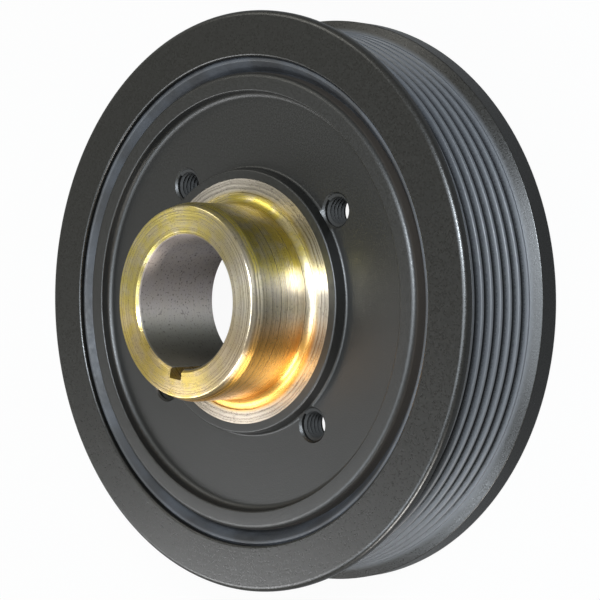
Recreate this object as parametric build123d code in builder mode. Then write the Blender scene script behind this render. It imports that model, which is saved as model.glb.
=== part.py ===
"""Harmonic balancer (torsional damper pulley) for an engine's crankshaft.

Three pieces make it. The hub is one iron casting: a nose that the crankshaft's oil seal runs
on, a keyed bore, a dished web with four tapped puller holes, and a rim. The inertia ring
carries the belt grooves. The rubber ring is pressed between the two and is the damping spring.

The part lies on the back face of the inertia ring, with the nose up along +Z. The origin is
on the axis, at that back face. All sizes are in millimetres and degrees.
"""

import os
from math import radians, tan

from build123d import *

# Inertia ring: the belt grooves are on the standard rib pitch.
flange_diameter = 146.0
flange_height = 2.9
ring_thickness = 8.6
groove_count = 7
groove_pitch = 3.56
groove_angle = 40.0
crest_width = 0.8
front_lip_width = 2.28
back_flange_width = 5.8
back_flank_angle = 25.2

# Rubber ring
rubber_thickness = 3.9
rubber_front_recess = 0.9
rubber_lip_width = 1.0
rubber_lip_drop = 0.9
rubber_crevice_depth = 3.8
rubber_back_recess = 2.5

# Hub rim and web
rim_front_thickness = 4.7
rim_back_thickness = 7.1
rim_front_recess = 0.4
rim_back_recess = 1.5
web_recess = 3.3
web_thickness = 8.0

# Hub nose, and the flat boss round its root
nose_length = 19.1
nose_diameter = 49.0
boss_width = 8.7
nose_root_flare = 1.8
nose_lead_length = 2.4
nose_lead_height = 0.8
bore_diameter = 33.0
washer_seat_depth = 7.5
washer_recess_diameter = 48.0

# Keyway and puller holes
keyway_width = 4.0
keyway_floor_radius = 19.2
puller_hole_distance = 4.3
puller_hole_count = 4
puller_thread_diameter = 8.0

# Radii that follow from the sizes above: inwards from the flanges, and outwards from the nose
flange_radius = flange_diameter / 2
crest_radius = flange_radius - flange_height
ring_bore_radius = crest_radius - ring_thickness
rim_radius = ring_bore_radius - rubber_thickness
rim_inner_radius = rim_radius - rim_front_thickness
cavity_radius = rim_radius - rim_back_thickness
nose_radius = nose_diameter / 2
boss_radius = nose_radius + boss_width
puller_circle_radius = boss_radius + puller_hole_distance
bore_radius = bore_diameter / 2
washer_recess_radius = washer_recess_diameter / 2

# A belt groove's section
groove_slope = tan(radians(groove_angle / 2))
groove_opening = groove_pitch - crest_width
groove_depth = groove_opening / 2 / groove_slope
root_radius = crest_radius - groove_depth

# Widths along the axis, added up from the front lip to the back flange
front_flank_run = flange_height * groove_slope
back_flank_run = (flange_height + groove_depth) * tan(radians(back_flank_angle))
grooved_width = (groove_count - 1) * groove_pitch + groove_opening / 2
front_width = front_lip_width + front_flank_run
back_width = back_flank_run + back_flange_width
ring_width = front_width + grooved_width + back_width

# Levels above the back face
front_face = ring_width
first_groove = front_face - front_width
nose_tip = front_face + nose_length
rim_front = front_face - rim_front_recess
web_front = front_face - web_recess
web_back = web_front - web_thickness
washer_seat = front_face - washer_seat_depth
rubber_front = front_face - rubber_front_recess


def groove_corners():
    """Corners of the belt grooves' section, from the first groove's root to the last one's.

    The first groove's front flank and the last one's back flank run on up to the flanges.
    """
    first_root = first_groove - groove_opening / 2
    corners = [(root_radius, first_root)]
    for groove in range(1, groove_count):
        root = first_root - groove * groove_pitch
        corners.append((crest_radius, root + groove_opening / 2 + crest_width))
        corners.append((crest_radius, root + groove_opening / 2))
        corners.append((root_radius, root))
    return corners


# Inertia ring: turned all over, with the belt grooves cut in its outside
with BuildPart() as inertia_ring:
    with BuildSketch(Plane.XZ):
        with BuildLine():
            Polyline(
                (ring_bore_radius, 0),
                (ring_bore_radius, front_face),
                (flange_radius, front_face),
                (flange_radius, front_face - front_lip_width),
                *groove_corners(),
                (flange_radius, back_flange_width),
                (flange_radius, 0),
                close=True,
            )
        make_face()
    revolve(axis=Axis.Z)

inertia_ring.part.label = "inertia_ring"

# Rubber ring: its front end slopes up from a crevice beside the hub to a lip, which drops
# again beside the inertia ring, and its back end is level
with BuildPart() as rubber_ring:
    with BuildSketch(Plane.XZ):
        with BuildLine():
            Polyline(
                (rim_radius, rubber_back_recess),
                (rim_radius, front_face - rubber_crevice_depth),
                (ring_bore_radius - rubber_lip_width, rubber_front),
                (ring_bore_radius, rubber_front - rubber_lip_drop),
                (ring_bore_radius, rubber_back_recess),
                close=True,
            )
        make_face()
    revolve(axis=Axis.Z)

rubber_ring.part.label = "rubber_ring"

# Hub: one casting, machined on the nose, in the bore, on the boss face and round the rim
with BuildPart() as hub:
    with BuildSketch(Plane.XZ) as hub_section:
        with BuildLine():
            Polyline(
                (bore_radius, washer_seat),
                (bore_radius, nose_tip),
                (nose_radius - nose_lead_height, nose_tip),
                (nose_radius, nose_tip - nose_lead_length),
                (nose_radius, front_face),
                (boss_radius, front_face),
                (boss_radius, web_front),
                (rim_inner_radius, web_front),
                (rim_inner_radius, rim_front),
                (rim_radius, rim_front),
                (rim_radius, rim_back_recess),
                (cavity_radius, rim_back_recess),
                (cavity_radius, web_back),
                (washer_recess_radius, web_back),
                (washer_recess_radius, washer_seat),
                close=True,
            )
        make_face()
        nose_root = hub_section.vertices().sort_by_distance((nose_radius, front_face))[0]
        chamfer(nose_root, nose_root_flare)
    revolve(axis=Axis.Z)

    # Keyway, broached through the whole bore on its -Y side
    with BuildSketch(Plane.XY.offset(washer_seat)):
        with Locations((0, -keyway_floor_radius)):
            Rectangle(keyway_width, keyway_floor_radius, align=(Align.CENTER, Align.MIN))
    extrude(amount=nose_tip - washer_seat, mode=Mode.SUBTRACT)

    # Tapped puller holes, right through the web, with the keyway midway between two of them
    with PolarLocations(puller_circle_radius, puller_hole_count, start_angle=45):
        Hole(radius=puller_thread_diameter / 2)

hub.part.label = "hub"

os.makedirs("parts", exist_ok=True)
export_step(hub.part, "parts/hub.step")
export_step(rubber_ring.part, "parts/rubber_ring.step")
export_step(inertia_ring.part, "parts/inertia_ring.step")
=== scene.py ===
"""Looks of a crankshaft's harmonic balancer: iron hub, rubber ring and grooved belt ring.

The sections follow the balancer as it is put together, from the hub outwards. Each piece is
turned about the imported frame's Z axis, in metres, with its place in its mesh.
"""

import math

import bpy
from mathutils import Matrix, Vector


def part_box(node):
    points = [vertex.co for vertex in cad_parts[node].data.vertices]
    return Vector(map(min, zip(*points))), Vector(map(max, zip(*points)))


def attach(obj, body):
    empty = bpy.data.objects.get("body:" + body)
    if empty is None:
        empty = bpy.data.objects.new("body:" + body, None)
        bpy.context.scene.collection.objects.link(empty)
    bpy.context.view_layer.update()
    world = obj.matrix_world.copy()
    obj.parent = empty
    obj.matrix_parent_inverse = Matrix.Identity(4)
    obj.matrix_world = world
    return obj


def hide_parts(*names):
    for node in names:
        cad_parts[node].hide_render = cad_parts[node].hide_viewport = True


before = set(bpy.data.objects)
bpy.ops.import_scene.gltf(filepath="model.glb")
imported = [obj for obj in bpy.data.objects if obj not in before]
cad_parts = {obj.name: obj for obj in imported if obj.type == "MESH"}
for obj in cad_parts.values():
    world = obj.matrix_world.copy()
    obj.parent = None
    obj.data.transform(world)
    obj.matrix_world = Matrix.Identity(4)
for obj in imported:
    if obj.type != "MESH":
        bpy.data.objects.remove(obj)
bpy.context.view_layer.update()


# ---------------------------------------------------------------------------------------------
# Hub: one grey iron casting. It is turned on the nose, the boss and the rim, bored, broached
# for the key and tapped for the puller's screws. Web and rim are coated satin black. In the gap
# beside the rubber the coat is a lighter brown: partly thin paint, partly painted light in the
# gap's shade.
# ---------------------------------------------------------------------------------------------

MM = 0.001

hub_low, hub_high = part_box("hub")
ring_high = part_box("inertia_ring")[1]
rubber_low, rubber_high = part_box("rubber_ring")

front_face = ring_high.z
nose_tip = hub_high.z
rim_radius = hub_high.x
rim_back = hub_low.z

nose_radius = 24.5 * MM
nose_lead_length = 3.0 * MM
nose_lead_height = 0.9 * MM
bore_radius = 16.5 * MM
bore_chamfer = 0.8 * MM
boss_radius = 33.2 * MM
boss_foot_radius = 33.6 * MM
bare_face_radius = 30.85 * MM
coat_thickness = 0.05 * MM
root_relief_radius = 27.2 * MM
root_relief_depth = 0.22 * MM
web_front = front_face - 3.3 * MM
web_back = web_front - 8.0 * MM
washer_seat = front_face - 7.5 * MM
washer_recess_radius = 24.0 * MM
rim_front = front_face - 0.4 * MM
rim_inner_radius = 52.9 * MM
rim_inner_draft = 0.3 * MM
cavity_radius = rim_radius - 7.1 * MM
keyway_width = 4.0 * MM
keyway_floor_radius = 19.2 * MM
puller_hole_count = 4
puller_circle_radius = 37.5 * MM
puller_hole_radius = 4.0 * MM
puller_hole_chamfer = 0.5 * MM
thread_pitch = 1.25 * MM
thread_depth = 0.7 * MM
thread_foot_sunk = 0.05 * MM
drill_segments = 48
drill_overrun = 2.0 * MM
broach_length = 200.0 * MM
turning_segments = 256
sharp_angle = math.radians(38)


def add(tree, kind, inputs=None, **settings):
    """A new node of a tree, with its settings made and its inputs filled or linked."""
    node = tree.nodes.new(kind)
    for name, value in settings.items():
        setattr(node, name, value)
    for key, value in (inputs or {}).items():
        if isinstance(value, bpy.types.NodeSocket):
            tree.links.new(value, node.inputs[key])
        else:
            node.inputs[key].default_value = value
    return node


def maths(tree, operation, first, second=0.0, third=0.0):
    """The result of one Math node."""
    inputs = {0: first, 1: second, 2: third}
    return add(tree, "ShaderNodeMath", inputs, operation=operation).outputs[0]


def new_tree(name, kind, inputs, outputs):
    """A node tree with named inputs and outputs, and its input and output nodes."""
    tree = bpy.data.node_groups.new(name, kind)
    for socket_name, socket_kind in inputs:
        tree.interface.new_socket(socket_name, in_out="INPUT", socket_type=socket_kind)
    for socket_name, socket_kind in outputs:
        tree.interface.new_socket(socket_name, in_out="OUTPUT", socket_type=socket_kind)
    return tree, tree.nodes.new("NodeGroupInput").outputs, tree.nodes.new("NodeGroupOutput")


def lathe_group():
    """Turns a closed section of rounded corners, drawn in the XZ plane, about the Z axis."""
    tree, given, result = new_tree(
        "lathe",
        "GeometryNodeTree",
        [
            ("Section", "NodeSocketGeometry"),
            ("Spindle Radius", "NodeSocketFloat"),
            ("Corner Steps", "NodeSocketInt"),
            ("Segments", "NodeSocketInt"),
            ("Sharp Angle", "NodeSocketFloat"),
        ],
        [("Turning", "NodeSocketGeometry")],
    )
    rounding = add(tree, "GeometryNodeInputNamedAttribute", {"Name": "rounding"}, data_type="FLOAT")
    rounded = add(
        tree,
        "GeometryNodeFilletCurve",
        {
            "Curve": given["Section"],
            "Count": given["Corner Steps"],
            "Radius": rounding.outputs["Attribute"],
            "Limit Radius": True,
        },
        mode="POLY",
    )
    position = add(tree, "GeometryNodeInputPosition")
    place = add(tree, "ShaderNodeSeparateXYZ", {0: position.outputs[0]})
    outwards = maths(tree, "SUBTRACT", place.outputs["X"], given["Spindle Radius"])
    down = maths(tree, "MULTIPLY", place.outputs["Z"], -1.0)
    across = add(tree, "ShaderNodeCombineXYZ", {"X": outwards, "Y": down})
    section = add(
        tree,
        "GeometryNodeSetPosition",
        {"Geometry": rounded.outputs[0], "Position": across.outputs[0]},
    )
    spindle = add(
        tree,
        "GeometryNodeCurvePrimitiveCircle",
        {"Resolution": given["Segments"], "Radius": given["Spindle Radius"]},
    )
    turned = add(
        tree,
        "GeometryNodeCurveToMesh",
        {"Curve": spindle.outputs[0], "Profile Curve": section.outputs[0]},
    )
    tree.links.new(shade_by_angle(tree, turned.outputs[0], given["Sharp Angle"]), result.inputs[0])
    return tree


def shade_by_angle(tree, mesh, angle):
    """The mesh shaded smooth, apart from edges sharper than the angle."""
    smooth = add(tree, "GeometryNodeSetShadeSmooth", {0: mesh}, domain="FACE")
    bend = add(tree, "GeometryNodeInputMeshEdgeAngle")
    sharp = add(
        tree,
        "FunctionNodeCompare",
        {0: bend.outputs["Unsigned Angle"], 1: angle},
        data_type="FLOAT",
        operation="GREATER_THAN",
    )
    split = add(
        tree,
        "GeometryNodeSetShadeSmooth",
        {0: smooth.outputs[0], 1: sharp.outputs[0], 2: False},
        domain="EDGE",
    )
    return split.outputs[0]


def corner_outline(name, corners, closed=True, first_place=0):
    """An object whose vertices are a section's corners, each with its rounding and its place.

    A corner is given as its radius, its height and its rounding.
    """
    mesh = bpy.data.meshes.new(name)
    steps = [(i, i + 1) for i in range(len(corners) - 1)]
    if closed:
        steps.append((len(corners) - 1, 0))
    mesh.from_pydata([(radius, 0.0, height) for radius, height, _ in corners], steps, [])
    rounding = mesh.attributes.new("rounding", "FLOAT", "POINT")
    rounding.data.foreach_set("value", [corner[2] for corner in corners])
    place = mesh.attributes.new("place", "FLOAT", "POINT")
    place.data.foreach_set("value", [float(first_place + i) for i in range(len(corners))])
    outline = bpy.data.objects.new(name, mesh)
    bpy.context.scene.collection.objects.link(outline)
    return outline


def make_piece(outline, tree, **sizes):
    """The outline worked by the tree with these sizes, as a plain mesh with even shading."""
    modifier = outline.modifiers.new("making", "NODES")
    modifier.node_group = tree
    for item in tree.interface.items_tree:
        key = item.name.lower().replace(" ", "_")
        if item.in_out == "INPUT" and key in sizes:
            modifier[item.identifier] = sizes[key]
    shading = outline.modifiers.new("even shading", "WEIGHTED_NORMAL")
    shading.keep_sharp = True
    evaluated = outline.evaluated_get(bpy.context.evaluated_depsgraph_get())
    mesh = bpy.data.meshes.new_from_object(evaluated)
    outline.modifiers.clear()
    outline.data = mesh
    mesh.name = outline.name
    return outline


def moved(tree, shape, **shift):
    """The shape moved along the axes named."""
    way = add(tree, "ShaderNodeCombineXYZ", shift)
    inputs = {"Geometry": shape.outputs[0], "Translation": way.outputs[0]}
    return add(tree, "GeometryNodeTransform", inputs)


def radius_of(tree, place):
    """How far a place is from the Z axis."""
    level_only = {0: place, 1: (1.0, 1.0, 0.0)}
    flat = add(tree, "ShaderNodeVectorMath", level_only, operation="MULTIPLY")
    length = add(tree, "ShaderNodeVectorMath", {0: flat.outputs[0]}, operation="LENGTH")
    return length.outputs["Value"]


def cut_away(tree, body, tool):
    """The body less the tool."""
    return add(
        tree,
        "GeometryNodeMeshBoolean",
        {0: body.outputs[0], 1: tool.outputs[0]},
        operation="DIFFERENCE",
        solver="EXACT",
    )


def puller_hole_tools(tree, given, web_thickness):
    """The drill and the countersink of one puller hole, both on the Z axis."""
    both_faces = maths(tree, "ADD", given["Web Front"], given["Web Back"])
    web_middle = maths(tree, "MULTIPLY", both_faces, 0.5)
    drill_length = maths(tree, "ADD", web_thickness, drill_overrun)
    drill = add(
        tree,
        "GeometryNodeMeshCylinder",
        {"Vertices": drill_segments, "Radius": given["Hole Radius"], "Depth": drill_length},
    )
    drill = moved(tree, drill, Z=web_middle)
    chamfer_low = maths(tree, "SUBTRACT", given["Web Front"], given["Hole Chamfer"])
    countersink_height = maths(tree, "MULTIPLY", given["Hole Chamfer"], 2.0)
    countersink_top = maths(tree, "ADD", given["Hole Radius"], countersink_height)
    countersink = add(
        tree,
        "GeometryNodeMeshCone",
        {
            "Vertices": drill_segments,
            "Radius Top": countersink_top,
            "Radius Bottom": given["Hole Radius"],
            "Depth": countersink_height,
        },
    )
    return drill, moved(tree, countersink, Z=chamfer_low)


def key_broach(tree, given):
    """The block that cuts the key's slot, on the -Y side through the whole bore."""
    slot_size = add(
        tree,
        "ShaderNodeCombineXYZ",
        {"X": given["Keyway Width"], "Y": given["Keyway Floor Radius"], "Z": broach_length},
    )
    slot_middle = maths(tree, "MULTIPLY", given["Keyway Floor Radius"], -0.5)
    broach = add(tree, "GeometryNodeMeshCube", {"Size": slot_size.outputs[0]})
    return moved(tree, broach, Y=slot_middle)


def puller_thread(tree, given, web_thickness):
    """The thread of one puller hole, on the Z axis: a three-sided ridge up the hole's wall.

    The ridge has one flat side in the wall, and is one and a half times its radius high.
    """
    steps_per_turn = 32
    thread_height = maths(tree, "SUBTRACT", web_thickness, given["Thread Pitch"])
    turns = maths(tree, "DIVIDE", thread_height, given["Thread Pitch"])
    ridge_radius = maths(tree, "MULTIPLY", given["Thread Depth"], 2.0 / 3.0)
    ridge_path_radius = maths(
        tree,
        "SUBTRACT",
        maths(tree, "ADD", given["Hole Radius"], thread_foot_sunk),
        maths(tree, "MULTIPLY", ridge_radius, 0.5),
    )
    winding = add(
        tree,
        "GeometryNodeCurveSpiral",
        {
            "Resolution": steps_per_turn,
            "Rotations": turns,
            "Start Radius": ridge_path_radius,
            "End Radius": ridge_path_radius,
            "Height": maths(tree, "MULTIPLY", turns, given["Thread Pitch"]),
            "Reverse": True,
        },
    )
    winding = add(tree, "GeometryNodeSetCurveNormal", {0: winding.outputs[0]}, mode="Z_UP")
    ridge = add(tree, "GeometryNodeCurvePrimitiveCircle", {"Resolution": 3, "Radius": ridge_radius})
    ridge = add(
        tree,
        "GeometryNodeTransform",
        {"Geometry": ridge.outputs[0], "Rotation": (0.0, 0.0, math.pi)},
    )
    thread = add(
        tree,
        "GeometryNodeCurveToMesh",
        {"Curve": winding.outputs[0], "Profile Curve": ridge.outputs[0], "Fill Caps": True},
    )
    thread_low = maths(tree, "MULTIPLY_ADD", given["Thread Pitch"], 0.5, given["Web Back"])
    thread = moved(tree, thread, Z=thread_low)
    return add(
        tree,
        "GeometryNodeSetMaterial",
        {"Geometry": thread.outputs[0], "Material": given["Thread Coat"]},
    )


def hub_tree(lathe):
    """Turns the hub's section, then cuts the keyway and the puller holes and taps these."""
    tree, given, result = new_tree(
        "hub making",
        "GeometryNodeTree",
        [
            ("Section", "NodeSocketGeometry"),
            ("Corner Steps", "NodeSocketInt"),
            ("Segments", "NodeSocketInt"),
            ("Bore Radius", "NodeSocketFloat"),
            ("Keyway Width", "NodeSocketFloat"),
            ("Keyway Floor Radius", "NodeSocketFloat"),
            ("Hole Count", "NodeSocketInt"),
            ("Hole Circle Radius", "NodeSocketFloat"),
            ("Hole Radius", "NodeSocketFloat"),
            ("Hole Chamfer", "NodeSocketFloat"),
            ("Thread Pitch", "NodeSocketFloat"),
            ("Thread Depth", "NodeSocketFloat"),
            ("Web Front", "NodeSocketFloat"),
            ("Web Back", "NodeSocketFloat"),
            ("Bare Radius", "NodeSocketFloat"),
            ("Coat", "NodeSocketMaterial"),
            ("Thread Coat", "NodeSocketMaterial"),
            ("Bare Iron", "NodeSocketMaterial"),
        ],
        [("Hub", "NodeSocketGeometry")],
    )
    section = add(tree, "GeometryNodeMeshToCurve", {"Mesh": given["Section"]})
    turned = add(
        tree,
        "GeometryNodeGroup",
        {
            "Section": section.outputs[0],
            "Spindle Radius": given["Bore Radius"],
            "Corner Steps": given["Corner Steps"],
            "Segments": given["Segments"],
            "Sharp Angle": sharp_angle,
        },
        node_tree=lathe,
    )

    # The holes stand on a circle, midway between the +X and +Y directions and so on round
    stations = add(
        tree,
        "GeometryNodeMeshCircle",
        {"Vertices": given["Hole Count"], "Radius": given["Hole Circle Radius"]},
    )
    first_station = maths(tree, "DIVIDE", math.pi, given["Hole Count"])
    turn = add(tree, "ShaderNodeCombineXYZ", {"Z": first_station})
    stations = add(
        tree,
        "GeometryNodeTransform",
        {"Geometry": stations.outputs[0], "Rotation": turn.outputs[0]},
    )

    web_thickness = maths(tree, "SUBTRACT", given["Web Front"], given["Web Back"])
    cut = turned
    for tool in puller_hole_tools(tree, given, web_thickness):
        tools = add(
            tree,
            "GeometryNodeInstanceOnPoints",
            {"Points": stations.outputs[0], "Instance": tool.outputs[0]},
        )
        tools = add(tree, "GeometryNodeRealizeInstances", {0: tools.outputs[0]})
        cut = cut_away(tree, cut, tools)
    cut = cut_away(tree, cut, key_broach(tree, given))

    thread = puller_thread(tree, given, web_thickness)
    threads = add(
        tree,
        "GeometryNodeInstanceOnPoints",
        {"Points": stations.outputs[0], "Instance": thread.outputs[0]},
    )

    coated = add(
        tree,
        "GeometryNodeSetMaterial",
        {"Geometry": cut.outputs[0], "Material": given["Coat"]},
    )
    whole = add(tree, "GeometryNodeJoinGeometry", {0: coated.outputs[0]})
    tree.links.new(threads.outputs[0], whole.inputs[0])
    whole = add(tree, "GeometryNodeRealizeInstances", {0: whole.outputs[0]})
    shaded = shade_by_angle(tree, whole.outputs[0], sharp_angle)
    radius = radius_of(tree, add(tree, "GeometryNodeInputPosition").outputs[0])
    inside = maths(tree, "LESS_THAN", radius, given["Bare Radius"])
    bare = add(
        tree,
        "GeometryNodeSetMaterial",
        {"Geometry": shaded, "Selection": inside, "Material": given["Bare Iron"]},
    )
    tree.links.new(bare.outputs[0], result.inputs[0])
    return tree


def grain_group():
    """Fine grain of a sprayed coat or of moulded rubber: specks, and slow drifts of shade."""
    tree, given, result = new_tree(
        "surface grain",
        "ShaderNodeTree",
        [("Grains per Metre", "NodeSocketFloat"), ("Drifts per Metre", "NodeSocketFloat")],
        [("Grain", "NodeSocketFloat"), ("Drift", "NodeSocketFloat")],
    )
    place = add(tree, "ShaderNodeTexCoord").outputs["Object"]
    grain = add(
        tree,
        "ShaderNodeTexNoise",
        {"Vector": place, "Scale": given["Grains per Metre"], "Detail": 3.0, "Roughness": 0.6},
    )
    drift = add(
        tree,
        "ShaderNodeTexNoise",
        {"Vector": place, "Scale": given["Drifts per Metre"], "Detail": 2.0},
    )
    tree.links.new(grain.outputs["Fac"], result.inputs["Grain"])
    tree.links.new(drift.outputs["Fac"], result.inputs["Drift"])
    return tree


def turning_marks_group():
    """Marks that a lathe tool leaves round the axis, and the radius that they lie at."""
    tree, given, result = new_tree(
        "turning marks",
        "ShaderNodeTree",
        [("Marks per Metre", "NodeSocketFloat"), ("Wander", "NodeSocketFloat")],
        [("Mark", "NodeSocketFloat"), ("Radius", "NodeSocketFloat")],
    )
    place = add(tree, "ShaderNodeTexCoord").outputs["Object"]
    parts = add(tree, "ShaderNodeSeparateXYZ", {0: place})
    radius = radius_of(tree, place)
    along = maths(tree, "ADD", radius, parts.outputs["Z"])
    patches_per_metre = 150.0
    patches = add(
        tree,
        "ShaderNodeTexNoise",
        {"Vector": place, "Scale": patches_per_metre, "Detail": 1.0},
    )
    drift = maths(tree, "MULTIPLY", patches.outputs["Fac"], given["Wander"])
    spacing = maths(tree, "MULTIPLY_ADD", along, given["Marks per Metre"], drift)
    mark = add(
        tree,
        "ShaderNodeTexNoise",
        {"W": spacing, "Scale": 1.0, "Detail": 4.0, "Roughness": 0.7},
        noise_dimensions="1D",
    )
    tree.links.new(mark.outputs["Fac"], result.inputs["Mark"])
    tree.links.new(radius, result.inputs["Radius"])
    return tree


def new_finish(name):
    """A material with an empty tree, its shader and its output."""
    material = bpy.data.materials.new(name)
    material.use_nodes = True
    tree = material.node_tree
    tree.nodes.clear()
    shader = add(tree, "ShaderNodeBsdfPrincipled")
    add(tree, "ShaderNodeOutputMaterial", {"Surface": shader.outputs[0]})
    return material, tree, shader


def raise_surface(tree, shader, height, distance, strength):
    """Bumps a finish by a height, of which 1 stands for the distance."""
    inputs = {"Height": height, "Distance": distance, "Strength": strength}
    bump = add(tree, "ShaderNodeBump", inputs)
    tree.links.new(bump.outputs[0], shader.inputs["Normal"])


# Most of a noise's values lie between these two
noise_range = (0.3, 0.7)


def between(tree, value, low, high, to_low=0.0, to_high=1.0):
    """The value's place between low and high, smoothly, as a number from to_low to to_high."""
    inputs = {0: value, 1: low, 2: high, 3: to_low, 4: to_high}
    return add(tree, "ShaderNodeMapRange", inputs, interpolation_type="SMOOTHSTEP").outputs[0]


def part_way(tree, share, start, end):
    """The number that lies this share of the way from start to end."""
    return maths(tree, "MULTIPLY_ADD", share, end - start, start)


def blend(tree, amount, first, second):
    """Two colours blended by an amount from 0 to 1."""
    mix = add(tree, "ShaderNodeMix", {0: amount}, data_type="RGBA")
    for socket, value in ((mix.inputs[6], first), (mix.inputs[7], second)):
        if isinstance(value, bpy.types.NodeSocket):
            tree.links.new(value, socket)
        else:
            socket.default_value = (*value, 1.0)
    return mix.outputs[2]


def satin_coat(
    name,
    grain,
    marks,
    marks_per_metre,
    mark_depth,
    smoothest,
    thin_paint_and_light_levels,
    thin_paint_and_light_radii,
    thin_paint_and_light_colour,
    pooled_gloss,
):
    """Satin black paint over turned or cast iron: specks, drifts, and the marks under it.

    Between the band's two levels the paint has pooled inside the first radius given, and is
    smoother there. It gets thin and dull towards the second radius, where it has the colour
    given. That colour is lighter than the coat: partly thin paint, partly painted light.
    """
    material, tree, shader = new_finish(name)
    grains = add(
        tree,
        "ShaderNodeGroup",
        {"Grains per Metre": 2300.0, "Drifts per Metre": 60.0},
        node_tree=grain,
    )
    lines = add(
        tree,
        "ShaderNodeGroup",
        {"Marks per Metre": marks_per_metre, "Wander": 0.3},
        node_tree=marks,
    )
    dark_speck = (0.0012, 0.0012, 0.0010)
    pale_speck = (0.0040, 0.0040, 0.0034)
    drift_shade = (0.0022, 0.0022, 0.0019)
    speck = between(tree, grains.outputs["Grain"], 0.35, 0.72)
    colour = blend(tree, speck, dark_speck, pale_speck)
    drift = between(tree, grains.outputs["Drift"], *noise_range)
    colour = blend(tree, drift, colour, drift_shade)

    # Where the paint has pooled, and where it is thin and lighter: partly thin paint, partly
    # painted light
    fade = 0.8 * MM
    low, high = thin_paint_and_light_levels
    place = add(tree, "ShaderNodeTexCoord").outputs["Object"]
    level = add(tree, "ShaderNodeSeparateXYZ", {0: place}).outputs["Z"]
    above = between(tree, level, low, low + fade)
    below = between(tree, level, high - fade, high, 1.0, 0.0)
    band = maths(tree, "MULTIPLY", above, below)
    outside = between(tree, lines.outputs["Radius"], *thin_paint_and_light_radii)
    thin_paint_and_light = maths(tree, "MULTIPLY", band, outside)
    colour = blend(tree, thin_paint_and_light, colour, thin_paint_and_light_colour)
    tree.links.new(colour, shader.inputs["Base Color"])

    roughness_spread = 0.12
    thin_dullness = 0.15
    roughest = smoothest + roughness_spread
    rough = between(tree, grains.outputs["Grain"], *noise_range, smoothest, roughest)
    duller = part_way(tree, outside, -pooled_gloss, thin_dullness)
    rough = maths(tree, "MULTIPLY_ADD", band, duller, rough)
    tree.links.new(rough, shader.inputs["Roughness"])
    height = maths(tree, "MULTIPLY_ADD", lines.outputs["Mark"], mark_depth, grains.outputs["Grain"])
    raise_surface(tree, shader, height, distance=0.05 * MM, strength=0.6)
    return material


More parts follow.
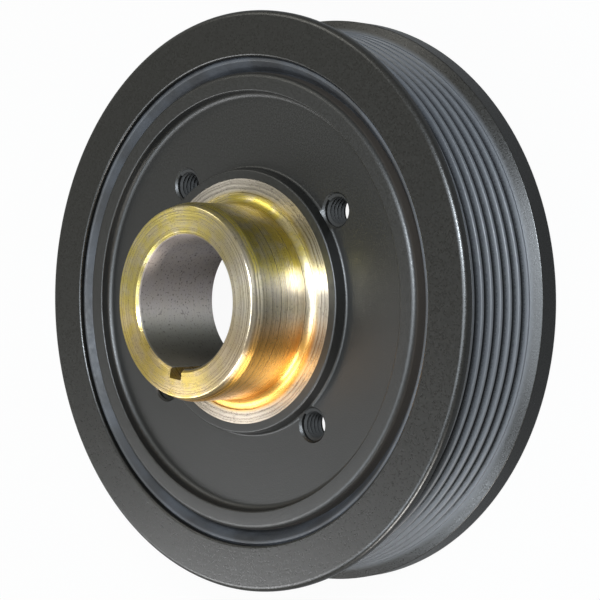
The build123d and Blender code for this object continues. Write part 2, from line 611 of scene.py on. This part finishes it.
def bare_turned_iron(grain, marks):
    """Bare iron off the lathe, under a film of preserving oil that has yellowed unevenly."""
    material, tree, shader = new_finish("bare turned iron")
    grains = add(
        tree,
        "ShaderNodeGroup",
        {"Grains per Metre": 1700.0, "Drifts per Metre": 300.0},
        node_tree=grain,
    )
    lines = add(
        tree,
        "ShaderNodeGroup",
        {"Marks per Metre": 1900.0, "Wander": 1.5},
        node_tree=marks,
    )
    place = add(tree, "ShaderNodeTexCoord").outputs["Object"]
    parts = add(tree, "ShaderNodeSeparateXYZ", {0: place})
    radius = lines.outputs["Radius"]
    mark = lines.outputs["Mark"]
    bore_edge = (16.65 * MM, 16.9 * MM)
    side_edge = (23.6 * MM, 24.3 * MM)
    nose_root = (26.2 * MM, 28.5 * MM)
    in_bore = between(tree, radius, *bore_edge, 1.0, 0.0)
    on_side = between(tree, radius, *side_edge)

    # Bare iron: streaked by the tool's marks, which show most on the nose's side, and greyer
    # on the boss
    dark_streak, bright_streak = (0.29, 0.255, 0.22), (0.60, 0.54, 0.48)
    boss_grey = (0.30, 0.29, 0.28)
    tip_contrast, side_contrast, boss_greyness = 0.4, 1.0, 0.5
    ridge = maths(tree, "SUBTRACT", between(tree, mark, 0.32, 0.68), 0.5)
    contrast = part_way(tree, on_side, tip_contrast, side_contrast)
    shade = maths(tree, "MULTIPLY_ADD", ridge, contrast, 0.5)
    iron = blend(tree, shade, dark_streak, bright_streak)
    on_boss = between(tree, radius, *nose_root, 0.0, boss_greyness)
    iron = blend(tree, on_boss, iron, boss_grey)

    # The film is thick on the nose and thin on the boss, and has pooled and browned on the -Y side.
    # On the +X side, where the key light's streak falls, it is mostly taken off: a painted
    # highlight of bright bare iron
    olive_film, amber_film = (0.48, 0.39, 0.08), (0.68, 0.36, 0.08)
    boss_film, tip_film, patch_film = 0.06, 0.85, 0.5
    tip_film_under_highlight, side_film_under_highlight = 0.25, 0.2
    on_nose = between(tree, radius, *nose_root, 1.0, boss_film)
    on_nose = maths(tree, "MULTIPLY", on_nose, part_way(tree, on_side, tip_film, 1.0))
    streaks = maths(tree, "MULTIPLY_ADD", mark, 0.7, grains.outputs["Drift"])
    patches = between(tree, streaks, 0.70, 0.98, patch_film, 1.0)
    # Less film towards +X, under the key light's streak: painted highlight of bare iron
    side_film_thinned_for_highlight = between(tree, parts.outputs["X"], 21.0 * MM, 24.0 * MM, 1.0, side_film_under_highlight)
    tip_film_thinned_for_highlight = between(tree, parts.outputs["X"], 4.0 * MM, 20.0 * MM, 1.0, tip_film_under_highlight)
    film_thinned_for_highlight = maths(tree, "MAXIMUM", tip_film_thinned_for_highlight, maths(tree, "MULTIPLY", side_film_thinned_for_highlight, on_side))
    film = maths(tree, "MULTIPLY", maths(tree, "MULTIPLY", on_nose, patches), film_thinned_for_highlight)
    colour = blend(tree, film, iron, olive_film)
    tip_pool, side_pool = 0.2, 0.95
    lower_half = between(tree, parts.outputs["Y"], 2.0 * MM, -8.0 * MM)
    pooled = maths(tree, "MULTIPLY", lower_half, on_nose)
    pooled = maths(tree, "MULTIPLY", pooled, part_way(tree, on_side, tip_pool, side_pool))
    colour = blend(tree, pooled, colour, amber_film)

    # The bore is bored dull and grey, and is darker and greener towards its -Y side
    bore_grey, lower_bore_colour = (0.24, 0.21, 0.215), (0.075, 0.078, 0.062)
    bore_greyness, lower_bore_darkening = 0.9, 0.8
    colour = blend(tree, maths(tree, "MULTIPLY", in_bore, bore_greyness), colour, bore_grey)
    towards_lower_bore = between(tree, parts.outputs["Y"], 3.0 * MM, -11.0 * MM, 0.0, lower_bore_darkening)
    colour = blend(tree, maths(tree, "MULTIPLY", towards_lower_bore, in_bore), colour, lower_bore_colour)

    # Pits hold dirt, most of all in the bore
    pit_dirt = (0.06, 0.05, 0.045)
    nose_dirt, bore_dirt = 0.45, 0.85
    pits = between(tree, grains.outputs["Grain"], 0.56, 0.68)
    pitted = maths(tree, "MULTIPLY", pits, part_way(tree, in_bore, nose_dirt, bore_dirt))
    colour = blend(tree, pitted, colour, pit_dirt)
    tree.links.new(colour, shader.inputs["Base Color"])

    # The tool's marks run round the axis, so the gloss is stretched across them
    smoothest, roughest, bore_dullness = 0.25, 0.34, 0.28
    quarter_turn = 0.25
    shader.inputs["Metallic"].default_value = 1.0
    rough = between(tree, mark, *noise_range, smoothest, roughest)
    rough = maths(tree, "MULTIPLY_ADD", in_bore, bore_dullness, rough)
    tree.links.new(rough, shader.inputs["Roughness"])
    shader.inputs["Anisotropic"].default_value = 0.82
    shader.inputs["Anisotropic Rotation"].default_value = quarter_turn
    round_axis = add(tree, "ShaderNodeTangent", direction_type="RADIAL", axis="Z")
    tree.links.new(round_axis.outputs[0], shader.inputs["Tangent"])
    pit_depth = -1.5
    height = maths(tree, "MULTIPLY_ADD", pits, pit_depth, mark)
    raise_surface(tree, shader, height, distance=0.01 * MM, strength=0.5)
    return material


hub_corners = [
    (bore_radius, washer_seat + bore_chamfer, 0.1 * MM),
    (bore_radius, nose_tip - bore_chamfer, 0.1 * MM),
    (bore_radius + bore_chamfer, nose_tip, 0.1 * MM),
    (nose_radius - nose_lead_height, nose_tip, 0.5 * MM),
    (nose_radius, nose_tip - nose_lead_length, 1.2 * MM),
    (nose_radius, front_face - root_relief_depth, 2.2 * MM),
    (root_relief_radius, front_face - root_relief_depth, 0.05 * MM),
    (root_relief_radius + root_relief_depth, front_face, 0.05 * MM),
    (bare_face_radius, front_face, 0.02 * MM),
    (bare_face_radius + coat_thickness, front_face + coat_thickness, 0.02 * MM),
    (boss_radius, front_face + coat_thickness, 0.5 * MM),
    (boss_foot_radius, web_front, 0.7 * MM),
    (rim_inner_radius - rim_inner_draft, web_front, 1.5 * MM),
    (rim_inner_radius, rim_front, 0.4 * MM),
    (rim_radius, rim_front, 1.4 * MM),
    (rim_radius, rim_back, 0.8 * MM),
    (cavity_radius, rim_back, 0.8 * MM),
    (cavity_radius, web_back, 2.0 * MM),
    (washer_recess_radius, web_back, 0.3 * MM),
    (washer_recess_radius, washer_seat, 0.3 * MM),
    (bore_radius + bore_chamfer, washer_seat, 0.1 * MM),
]

lathe = lathe_group()
grain = grain_group()
marks = turning_marks_group()
hub_paint = {
    "marks_per_metre": 700.0,
    "mark_depth": 0.35,
    "thin_paint_and_light_levels": (20.0 * MM, 34.2 * MM),
    "thin_paint_and_light_radii": (56.9 * MM, 57.5 * MM),
    # Lighter than the coat: partly thin brown paint, partly painted light in the shaded gap beside
    # the rubber
    "thin_paint_and_light_colour": (0.024, 0.0195, 0.0155),
    "pooled_gloss": 0.0,
}
hub_coat = satin_coat("hub satin black coat", grain, marks, smoothest=0.37, **hub_paint)
thread_coat = satin_coat("puller thread dull coat", grain, marks, smoothest=0.72, **hub_paint)
bare_iron = bare_turned_iron(grain, marks)

hub = make_piece(
    corner_outline("hub_casting", hub_corners),
    hub_tree(lathe),
    corner_steps=4,
    segments=turning_segments,
    bore_radius=bore_radius,
    keyway_width=keyway_width,
    keyway_floor_radius=keyway_floor_radius,
    hole_count=puller_hole_count,
    hole_circle_radius=puller_circle_radius,
    hole_radius=puller_hole_radius,
    hole_chamfer=puller_hole_chamfer,
    thread_pitch=thread_pitch,
    thread_depth=thread_depth,
    web_front=web_front,
    web_back=web_back,
    bare_radius=bare_face_radius,
    coat=hub_coat,
    thread_coat=thread_coat,
    bare_iron=bare_iron,
)
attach(hub, "root")
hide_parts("hub")


# ---------------------------------------------------------------------------------------------
# Rubber ring: a strip of hard synthetic rubber, pressed and bonded between rim and belt ring.
# Its front end bulges into a lip beside the belt ring and leaves a crevice beside the rim.
# ---------------------------------------------------------------------------------------------

ring_bore_radius = rubber_high.x
rubber_back = rubber_low.z
rubber_lip = rubber_high.z
crevice_depth = 4.2 * MM
crevice_width = 0.4 * MM
lip_width = 1.1 * MM
lip_drop = 0.6 * MM
back_edge_width = 0.8 * MM
back_hollow_depth = 0.8 * MM


def turn_and_finish(tree, lathe, given, section):
    """Turns a closed section into a ring, and gives the ring its one finish."""
    turned = add(
        tree,
        "GeometryNodeGroup",
        {
            "Section": section.outputs[0],
            "Spindle Radius": given["Spindle Radius"],
            "Corner Steps": given["Corner Steps"],
            "Segments": given["Segments"],
            "Sharp Angle": sharp_angle,
        },
        node_tree=lathe,
    )
    plain = add(tree, "GeometryNodeRealizeInstances", {0: turned.outputs[0]})
    finished = add(
        tree,
        "GeometryNodeSetMaterial",
        {"Geometry": plain.outputs[0], "Material": given["Finish"]},
    )
    return finished.outputs[0]


def turned_ring_tree(lathe):
    """Turns a plain closed section into a ring of one material."""
    tree, given, result = new_tree(
        "rubber ring making",
        "GeometryNodeTree",
        [
            ("Section", "NodeSocketGeometry"),
            ("Spindle Radius", "NodeSocketFloat"),
            ("Corner Steps", "NodeSocketInt"),
            ("Segments", "NodeSocketInt"),
            ("Finish", "NodeSocketMaterial"),
        ],
        [("Ring", "NodeSocketGeometry")],
    )
    section = add(tree, "GeometryNodeMeshToCurve", {"Mesh": given["Section"]})
    tree.links.new(turn_and_finish(tree, lathe, given, section), result.inputs[0])
    return tree


def moulded_rubber(grain):
    """Hard black rubber with the faint blue-grey bloom that it gets in store."""
    material, tree, shader = new_finish("damper rubber")
    grains = add(
        tree,
        "ShaderNodeGroup",
        {"Grains per Metre": 1100.0, "Drifts per Metre": 90.0},
        node_tree=grain,
    )
    bloom = between(tree, grains.outputs["Drift"], 0.35, 0.68)
    plain_rubber, bloomed_rubber = (0.012, 0.0125, 0.0138), (0.023, 0.0255, 0.030)
    colour = blend(tree, bloom, plain_rubber, bloomed_rubber)
    tree.links.new(colour, shader.inputs["Base Color"])
    smoothest, roughest = 0.50, 0.68
    rough = between(tree, grains.outputs["Grain"], *noise_range, smoothest, roughest)
    tree.links.new(rough, shader.inputs["Roughness"])
    raise_surface(tree, shader, grains.outputs["Grain"], distance=0.05 * MM, strength=0.6)
    return material


rubber_corners = [
    (rim_radius, rubber_back, 0.1 * MM),
    (rim_radius, front_face - crevice_depth - 0.2 * MM, 0.05 * MM),
    (rim_radius + crevice_width, front_face - crevice_depth + 0.1 * MM, 0.3 * MM),
    (ring_bore_radius - lip_width, rubber_lip, 0.5 * MM),
    (ring_bore_radius - 0.5 * MM, rubber_lip - 0.1 * MM, 0.3 * MM),
    (ring_bore_radius - 0.2 * MM, rubber_lip - 0.5 * MM, 0.2 * MM),
    (ring_bore_radius, rubber_lip - lip_drop, 0.1 * MM),
    (ring_bore_radius, rubber_back, 0.1 * MM),
    (ring_bore_radius - back_edge_width, rubber_back, 0.3 * MM),
    ((rim_radius + ring_bore_radius) / 2, rubber_back + back_hollow_depth, 1.5 * MM),
    (rim_radius + back_edge_width, rubber_back, 0.3 * MM),
]

rubber = make_piece(
    corner_outline("rubber_strip", rubber_corners),
    turned_ring_tree(lathe),
    spindle_radius=rim_radius,
    corner_steps=4,
    segments=turning_segments,
    finish=moulded_rubber(grain),
)
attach(rubber, "root")
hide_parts("rubber_ring")


# ---------------------------------------------------------------------------------------------
# Inertia ring: grey iron, turned all over, with the belt's grooves cut between two flanges.
# It is coated satin black like the hub, thinly on the crests and the flanges' inner sides,
# and lighter towards the crests: partly thin paint, partly a painted highlight on the groove walls.
# The grooves are V cuts on the belt's standard rib pitch.
# ---------------------------------------------------------------------------------------------

flange_radius = ring_high.x
flange_height = 2.9 * MM
crest_radius = flange_radius - flange_height
groove_count = 7
groove_pitch = 3.56 * MM
crest_width = 0.8 * MM
groove_opening = groove_pitch - crest_width
groove_angle = math.radians(40)
groove_slope = math.tan(groove_angle / 2)
groove_depth = groove_opening / 2 / groove_slope
front_lip_width = 2.28 * MM
back_flange_width = 5.8 * MM
back_shoulder_width = 0.4 * MM
first_root = front_face - front_lip_width - flange_height * groove_slope - groove_opening / 2
last_crest = first_root - (groove_count - 1) * groove_pitch - groove_opening / 2


def belt_ring_tree(lathe):
    """Lays out the grooves' corners, closes them with the body's corners, and turns the lot."""
    tree, given, result = new_tree(
        "belt ring making",
        "GeometryNodeTree",
        [
            ("Body Corners", "NodeSocketGeometry"),
            ("Spindle Radius", "NodeSocketFloat"),
            ("Groove Count", "NodeSocketInt"),
            ("Groove Pitch", "NodeSocketFloat"),
            ("Groove Opening", "NodeSocketFloat"),
            ("Groove Depth", "NodeSocketFloat"),
            ("Crest Radius", "NodeSocketFloat"),
            ("First Root Height", "NodeSocketFloat"),
            ("Root Rounding", "NodeSocketFloat"),
            ("Crest Rounding", "NodeSocketFloat"),
            ("Corner Steps", "NodeSocketInt"),
            ("Segments", "NodeSocketInt"),
            ("Finish", "NodeSocketMaterial"),
        ],
        [("Ring", "NodeSocketGeometry")],
    )
    # Three corners for each groove: its root, then both sides of the crest behind it. The
    # last groove has its root alone, because the body's corners go on from there.
    corner_count = maths(tree, "MULTIPLY_ADD", given["Groove Count"], 3.0, -2.0)
    number = add(tree, "GeometryNodeInputIndex").outputs[0]
    groove = maths(tree, "FLOOR", maths(tree, "DIVIDE", number, 3.0))
    step = maths(tree, "MODULO", number, 3.0)
    is_root = maths(tree, "COMPARE", step, 0.0, 0.1)
    is_near = maths(tree, "COMPARE", step, 1.0, 0.1)
    is_far = maths(tree, "COMPARE", step, 2.0, 0.1)
    half_opening = maths(tree, "MULTIPLY", given["Groove Opening"], 0.5)
    far_side = maths(tree, "SUBTRACT", given["Groove Pitch"], half_opening)
    drop = maths(tree, "MULTIPLY", groove, given["Groove Pitch"])
    drop = maths(tree, "MULTIPLY_ADD", is_near, half_opening, drop)
    drop = maths(tree, "MULTIPLY_ADD", is_far, far_side, drop)
    height = maths(tree, "SUBTRACT", given["First Root Height"], drop)
    cut_in = maths(tree, "MULTIPLY", is_root, given["Groove Depth"])
    radius = maths(tree, "SUBTRACT", given["Crest Radius"], cut_in)
    is_crest = maths(tree, "SUBTRACT", 1.0, is_root)
    rounding = maths(
        tree,
        "ADD",
        maths(tree, "MULTIPLY", is_root, given["Root Rounding"]),
        maths(tree, "MULTIPLY", is_crest, given["Crest Rounding"]),
    )
    place = add(tree, "ShaderNodeCombineXYZ", {"X": radius, "Z": height})
    corners = add(tree, "GeometryNodePoints", {"Count": corner_count, "Position": place.outputs[0]})
    for name, value in (("rounding", rounding), ("place", number)):
        corners = add(
            tree,
            "GeometryNodeStoreNamedAttribute",
            {"Geometry": corners.outputs[0], "Name": name, "Value": value},
            data_type="FLOAT",
            domain="POINT",
        )
    body = add(tree, "GeometryNodeMeshToPoints", {"Mesh": given["Body Corners"]})
    joined = add(tree, "GeometryNodeJoinGeometry", {0: corners.outputs[0]})
    tree.links.new(body.outputs[0], joined.inputs[0])
    order = add(tree, "GeometryNodeInputNamedAttribute", {"Name": "place"}, data_type="FLOAT")
    section = add(
        tree,
        "GeometryNodePointsToCurves",
        {"Points": joined.outputs[0], "Weight": order.outputs["Attribute"]},
    )
    section = add(tree, "GeometryNodeSetSplineCyclic", {0: section.outputs[0], "Cyclic": True})
    tree.links.new(turn_and_finish(tree, lathe, given, section), result.inputs[0])
    return tree


body_corners = [
    (crest_radius, last_crest, 0.15 * MM),
    (crest_radius, last_crest - back_shoulder_width, 0.15 * MM),
    (flange_radius, back_flange_width, 0.35 * MM),
    (flange_radius, 0.0, 0.9 * MM),
    (ring_bore_radius, 0.0, 0.5 * MM),
    (ring_bore_radius, front_face, 0.6 * MM),
    (flange_radius, front_face, 1.4 * MM),
    (flange_radius, front_face - front_lip_width, 0.3 * MM),
]

belt_ring = make_piece(
    corner_outline("belt_ring", body_corners, closed=False, first_place=3 * groove_count),
    belt_ring_tree(lathe),
    spindle_radius=ring_bore_radius,
    groove_count=groove_count,
    groove_pitch=groove_pitch,
    groove_opening=groove_opening,
    groove_depth=groove_depth,
    crest_radius=crest_radius,
    first_root_height=first_root,
    root_rounding=0.35 * MM,
    crest_rounding=0.5 * MM,
    corner_steps=6,
    segments=turning_segments,
    finish=satin_coat(
        "belt ring satin black coat",
        grain,
        marks,
        marks_per_metre=1300.0,
        mark_depth=0.5,
        smoothest=0.26,
        thin_paint_and_light_levels=(6.6 * MM, 32.6 * MM),
        thin_paint_and_light_radii=(68.1 * MM, 70.2 * MM),
        # Lighter towards the crests: partly thin paint, partly a painted highlight on the groove
        # walls
        thin_paint_and_light_colour=(0.053, 0.057, 0.064),
        pooled_gloss=0.19,
    ),
)
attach(belt_ring, "root")
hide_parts("inertia_ring")


# ---------------------------------------------------------------------------------------------
# Studio: the balancer lies on its back face on a white floor. The camera looks down on it from
# the +X side, with the keyway at the nose's foot. Six soft boxes stand round it, the brightest
# on the camera's side.
# ---------------------------------------------------------------------------------------------

view_right = Vector((0.71876, 0.10687, -0.68700))
view_up = Vector((-0.15643, 0.98764, -0.01002))
view_place = Vector((0.34301, 0.05815, 0.38036))
lens_length = 116.78
balancer_middle = Vector((0.0, 0.0, front_face / 2))

camera_data = bpy.data.cameras.new("camera")
camera_data.lens = lens_length
camera_data.sensor_width = 36.0
camera = bpy.data.objects.new("camera", camera_data)
view_back = view_right.cross(view_up).normalized()
camera.matrix_world = Matrix.LocRotScale(
    view_place,
    Matrix((view_right, view_back.cross(view_right), view_back)).transposed().to_quaternion(),
    Vector((1.0, 1.0, 1.0)),
)
bpy.context.scene.collection.objects.link(camera)
bpy.context.scene.camera = camera


def soft_box(name, direction, distance, width, height, watts, colour):
    """An area lamp that looks at the balancer. Direction is to its right, up its face, and out."""
    face_right = Vector((0.98769, 0.15643, 0.0))
    face_up = Vector((-0.15643, 0.98769, 0.0))
    right, up, out = direction
    way = (face_right * right + face_up * up + Vector((0.0, 0.0, out))).normalized()
    lamp = bpy.data.lights.new(name, "AREA")
    lamp.shape = "RECTANGLE"
    lamp.size = width
    lamp.size_y = height
    lamp.energy = watts
    lamp.color = colour
    box = bpy.data.objects.new(name, lamp)
    box.location = balancer_middle + way * distance
    box.rotation_euler = way.to_track_quat("Z", "Y").to_euler()
    bpy.context.scene.collection.objects.link(box)


cool_white = (0.84, 0.92, 1.0)
plain_white = (0.97, 0.98, 1.0)
soft_white = (1.0, 0.97, 0.93)
warm_white = (1.0, 0.98, 0.90)

soft_box(
    "key soft box",
    direction=(0.60, 0.28, 0.75),
    distance=0.9,
    width=0.20,
    height=0.20,
    watts=13.0,
    colour=cool_white,
)
soft_box(
    "low soft box",
    direction=(-0.62, -0.46, 0.60),
    distance=0.8,
    width=0.4,
    height=0.25,
    watts=3.2,
    colour=plain_white,
)
soft_box(
    "upper soft box",
    direction=(-0.45, 0.62, 0.64),
    distance=0.8,
    width=0.35,
    height=0.2,
    watts=1.2,
    colour=warm_white,
)
soft_box(
    "corner soft box",
    direction=(-0.10, -0.62, 0.78),
    distance=0.8,
    width=0.35,
    height=0.2,
    watts=3.0,
    colour=cool_white,
)
soft_box(
    "side soft box",
    direction=(0.35, -0.90, 0.14),
    distance=0.8,
    width=0.4,
    height=0.12,
    watts=6.0,
    colour=soft_white,
)
soft_box(
    "top soft box",
    direction=(0.30, 0.00, 0.95),
    distance=0.8,
    width=0.6,
    height=0.5,
    watts=6.5,
    colour=cool_white,
)


def background_share(tree, in_gloss):
    """How much of what a ray meets is plain white: all from the camera, less from gloss."""
    path = add(tree, "ShaderNodeLightPath")
    gloss = maths(tree, "MULTIPLY", path.outputs["Is Glossy Ray"], in_gloss)
    seen = maths(tree, "MAXIMUM", path.outputs["Is Camera Ray"], gloss)
    return maths(tree, "MAXIMUM", seen, path.outputs["Is Transmission Ray"])


def mix_shaders(tree, share, first, second):
    """Two shaders mixed, with this share of the second."""
    inputs = {0: share, 1: first.outputs[0], 2: second.outputs[0]}
    return add(tree, "ShaderNodeMixShader", inputs)


def white_floor():
    """A wide sheet under the balancer that shows white and keeps the balancer's shadow."""
    half_width = 12.0
    paper_grey = 0.25
    paper_grey_in_gloss = 0.12
    shown_share = 0.95
    mesh = bpy.data.meshes.new("floor")
    corner_signs = ((-1, -1), (1, -1), (1, 1), (-1, 1))
    corners = [(x * half_width, y * half_width, 0.0) for x, y in corner_signs]
    mesh.from_pydata(corners, [], [(0, 1, 2, 3)])
    floor = bpy.data.objects.new("floor", mesh)
    bpy.context.scene.collection.objects.link(floor)
    paper = bpy.data.materials.new("white paper")
    paper.use_nodes = True
    tree = paper.node_tree
    tree.nodes.clear()
    from_gloss = add(tree, "ShaderNodeLightPath").outputs["Is Glossy Ray"]
    grey = part_way(tree, from_gloss, paper_grey, paper_grey_in_gloss)
    matt = add(tree, "ShaderNodeBsdfDiffuse", {"Color": grey})
    glow = add(tree, "ShaderNodeEmission", {"Color": (1.0, 1.0, 1.0, 1.0), "Strength": 1.0})
    share = maths(tree, "MULTIPLY", background_share(tree, in_gloss=0.12), shown_share)
    mixed = mix_shaders(tree, share, matt, glow)
    add(tree, "ShaderNodeOutputMaterial", {"Surface": mixed.outputs[0]})
    mesh.materials.append(paper)


def studio_world():
    """Dim, slightly warm light from all round, and plain white where the background is seen."""
    world = bpy.data.worlds.new("studio")
    world.use_nodes = True
    tree = world.node_tree
    tree.nodes.clear()
    dim = add(tree, "ShaderNodeBackground", {"Color": (1.0, 0.98, 0.80, 1.0), "Strength": 0.36})
    white = add(tree, "ShaderNodeBackground", {"Color": (1.0, 1.0, 1.0, 1.0), "Strength": 1.0})
    mixed = mix_shaders(tree, background_share(tree, in_gloss=0.25), dim, white)
    add(tree, "ShaderNodeOutputWorld", {"Surface": mixed.outputs[0]})
    bpy.context.scene.world = world


white_floor()
studio_world()
bpy.context.scene.view_settings.view_transform = "Standard"
